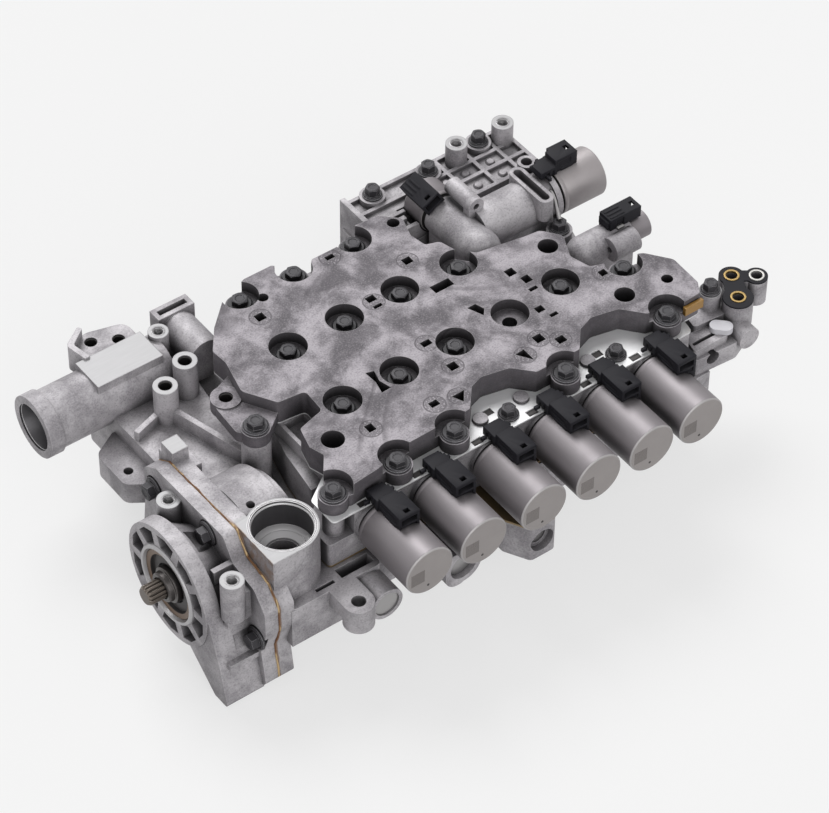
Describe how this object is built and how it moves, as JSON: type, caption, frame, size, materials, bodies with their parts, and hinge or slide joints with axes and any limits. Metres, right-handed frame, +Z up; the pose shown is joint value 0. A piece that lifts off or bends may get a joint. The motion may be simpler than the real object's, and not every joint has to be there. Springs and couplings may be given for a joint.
{
  "type": "transmission valve body",
  "caption": "Transmission valve body with stacked castings, a row of solenoid valves along the front, a splined gear pump, an inlet port, an outlet tube and rear valve housings.",
  "frame": {"origin": "on the ground plane through the ends of the feet, below the middle of the whole part's bounding box", "axes": "+X runs along the row of solenoids, away from the pump; +Y to the rear, away from the solenoid fronts; +Z up, out of the upper body's flat face"},
  "size_m": [0.438, 0.271, 0.1265],
  "materials": {
    "dark_casting": "mottled die-cast, dark grey",
    "light_casting": "as cast, light grey",
    "steel_plate": "bright rolled steel",
    "bronze_plate": "satin bronze",
    "gasket": "orange brown fibre",
    "plastic_gasket": "black moulded",
    "can_steel": "satin drawn steel",
    "black_plastic": "black moulded",
    "bolt_steel": "dark phosphated",
    "bare_steel": "ground steel",
    "spool_aluminium": "turned",
    "rubber": "black",
    "gilt": "gilt",
    "amber_plastic": "amber",
    "white_plastic": "white"
  },
  "bodies": {
    "housing": {"amber_wedge": "amber_plastic", "bronze_plate": "bronze_plate", "connector_1": "black_plastic", "connector_2": "black_plastic", "connector_3": "black_plastic", "connector_4": "black_plastic", "connector_5": "black_plastic", "connector_6": "black_plastic", "cover_bolts": "bolt_steel", "end_block": "light_casting", "end_gasket": "plastic_gasket", "end_plugs": "bare_steel", "eyelets": "gilt", "housing_bolts": "bolt_steel", "left_rear_connector": "black_plastic", "left_rear_solenoid": "can_steel", "main_body": "light_casting", "middle_body": "light_casting", "plate_bolts": "bolt_steel", "pump_bolts": "bolt_steel", "pump_cover": "light_casting", "pump_gasket": "gasket", "rear_body": "light_casting", "rear_connector": "black_plastic", "rear_solenoid": "can_steel", "rear_spring": "bare_steel", "rear_valve_housing": "light_casting", "separator_plate": "steel_plate", "shaft_bearing": "bare_steel", "shaft_seal": "rubber", "side_connector": "black_plastic", "side_solenoid": "can_steel", "side_valve_housing": "light_casting", "solenoid_1": "can_steel", "solenoid_2": "can_steel", "solenoid_3": "can_steel", "solenoid_4": "can_steel", "solenoid_5": "can_steel", "solenoid_6": "can_steel", "spring_1": "bare_steel", "spring_2": "bare_steel", "spring_3": "bare_steel", "spring_4": "bare_steel", "spring_5": "bare_steel", "spring_6": "bare_steel", "strap": "bare_steel", "upper_body": "dark_casting", "white_clip": "white_plastic"},
    "shaft": {"drive_shaft": "bare_steel", "inner_rotor": "bare_steel"},
    "ring": {"outer_rotor": "bare_steel"},
    "spool_body_1": {"spool_1": "spool_aluminium"},
    "spool_body_2": {"spool_2": "spool_aluminium"},
    "spool_body_3": {"spool_3": "spool_aluminium"},
    "spool_body_4": {"spool_4": "spool_aluminium"},
    "spool_body_5": {"spool_5": "spool_aluminium"},
    "spool_body_6": {"spool_6": "spool_aluminium"},
    "rear_spool_body": {"rear_spool": "spool_aluminium"}
  },
  "joints": [
    {"name": "shaft_spin", "type": "hinge", "parent": "housing", "child": "shaft", "pos_m": [-0.167, -0.034, 0.057], "axis": [1, 0, 0], "continuous": true},
    {"name": "ring_spin", "type": "hinge", "parent": "housing", "child": "ring", "pos_m": [-0.167, -0.034, 0.0551], "axis": [1, 0, 0], "continuous": true},
    {"name": "spool_slide_1", "type": "slide", "parent": "housing", "child": "spool_body_1", "axis": [0, 1, 0], "range_m": [0, 0.003], "stiffness_N_per_m": 600, "springref_m": -0.004, "deforming": ["spring_1"]},
    {"name": "spool_slide_2", "type": "slide", "parent": "housing", "child": "spool_body_2", "axis": [0, 1, 0], "range_m": [0, 0.003], "stiffness_N_per_m": 600, "springref_m": -0.004, "deforming": ["spring_2"]},
    {"name": "spool_slide_3", "type": "slide", "parent": "housing", "child": "spool_body_3", "axis": [0, 1, 0], "range_m": [0, 0.003], "stiffness_N_per_m": 600, "springref_m": -0.004, "deforming": ["spring_3"]},
    {"name": "spool_slide_4", "type": "slide", "parent": "housing", "child": "spool_body_4", "axis": [0, 1, 0], "range_m": [0, 0.003], "stiffness_N_per_m": 600, "springref_m": -0.004, "deforming": ["spring_4"]},
    {"name": "spool_slide_5", "type": "slide", "parent": "housing", "child": "spool_body_5", "axis": [0, 1, 0], "range_m": [0, 0.003], "stiffness_N_per_m": 600, "springref_m": -0.004, "deforming": ["spring_5"]},
    {"name": "spool_slide_6", "type": "slide", "parent": "housing", "child": "spool_body_6", "axis": [0, 1, 0], "range_m": [0, 0.003], "stiffness_N_per_m": 600, "springref_m": -0.004, "deforming": ["spring_6"]},
    {"name": "rear_spool_slide", "type": "slide", "parent": "housing", "child": "rear_spool_body", "axis": [-1, 0, 0], "range_m": [0, 0.003], "stiffness_N_per_m": 700, "springref_m": -0.004, "deforming": ["rear_spring"]}
  ],
  "couplings": [
    {"joint": "shaft_spin", "follows": "ring_spin", "ratio": 1.125}
  ]
}
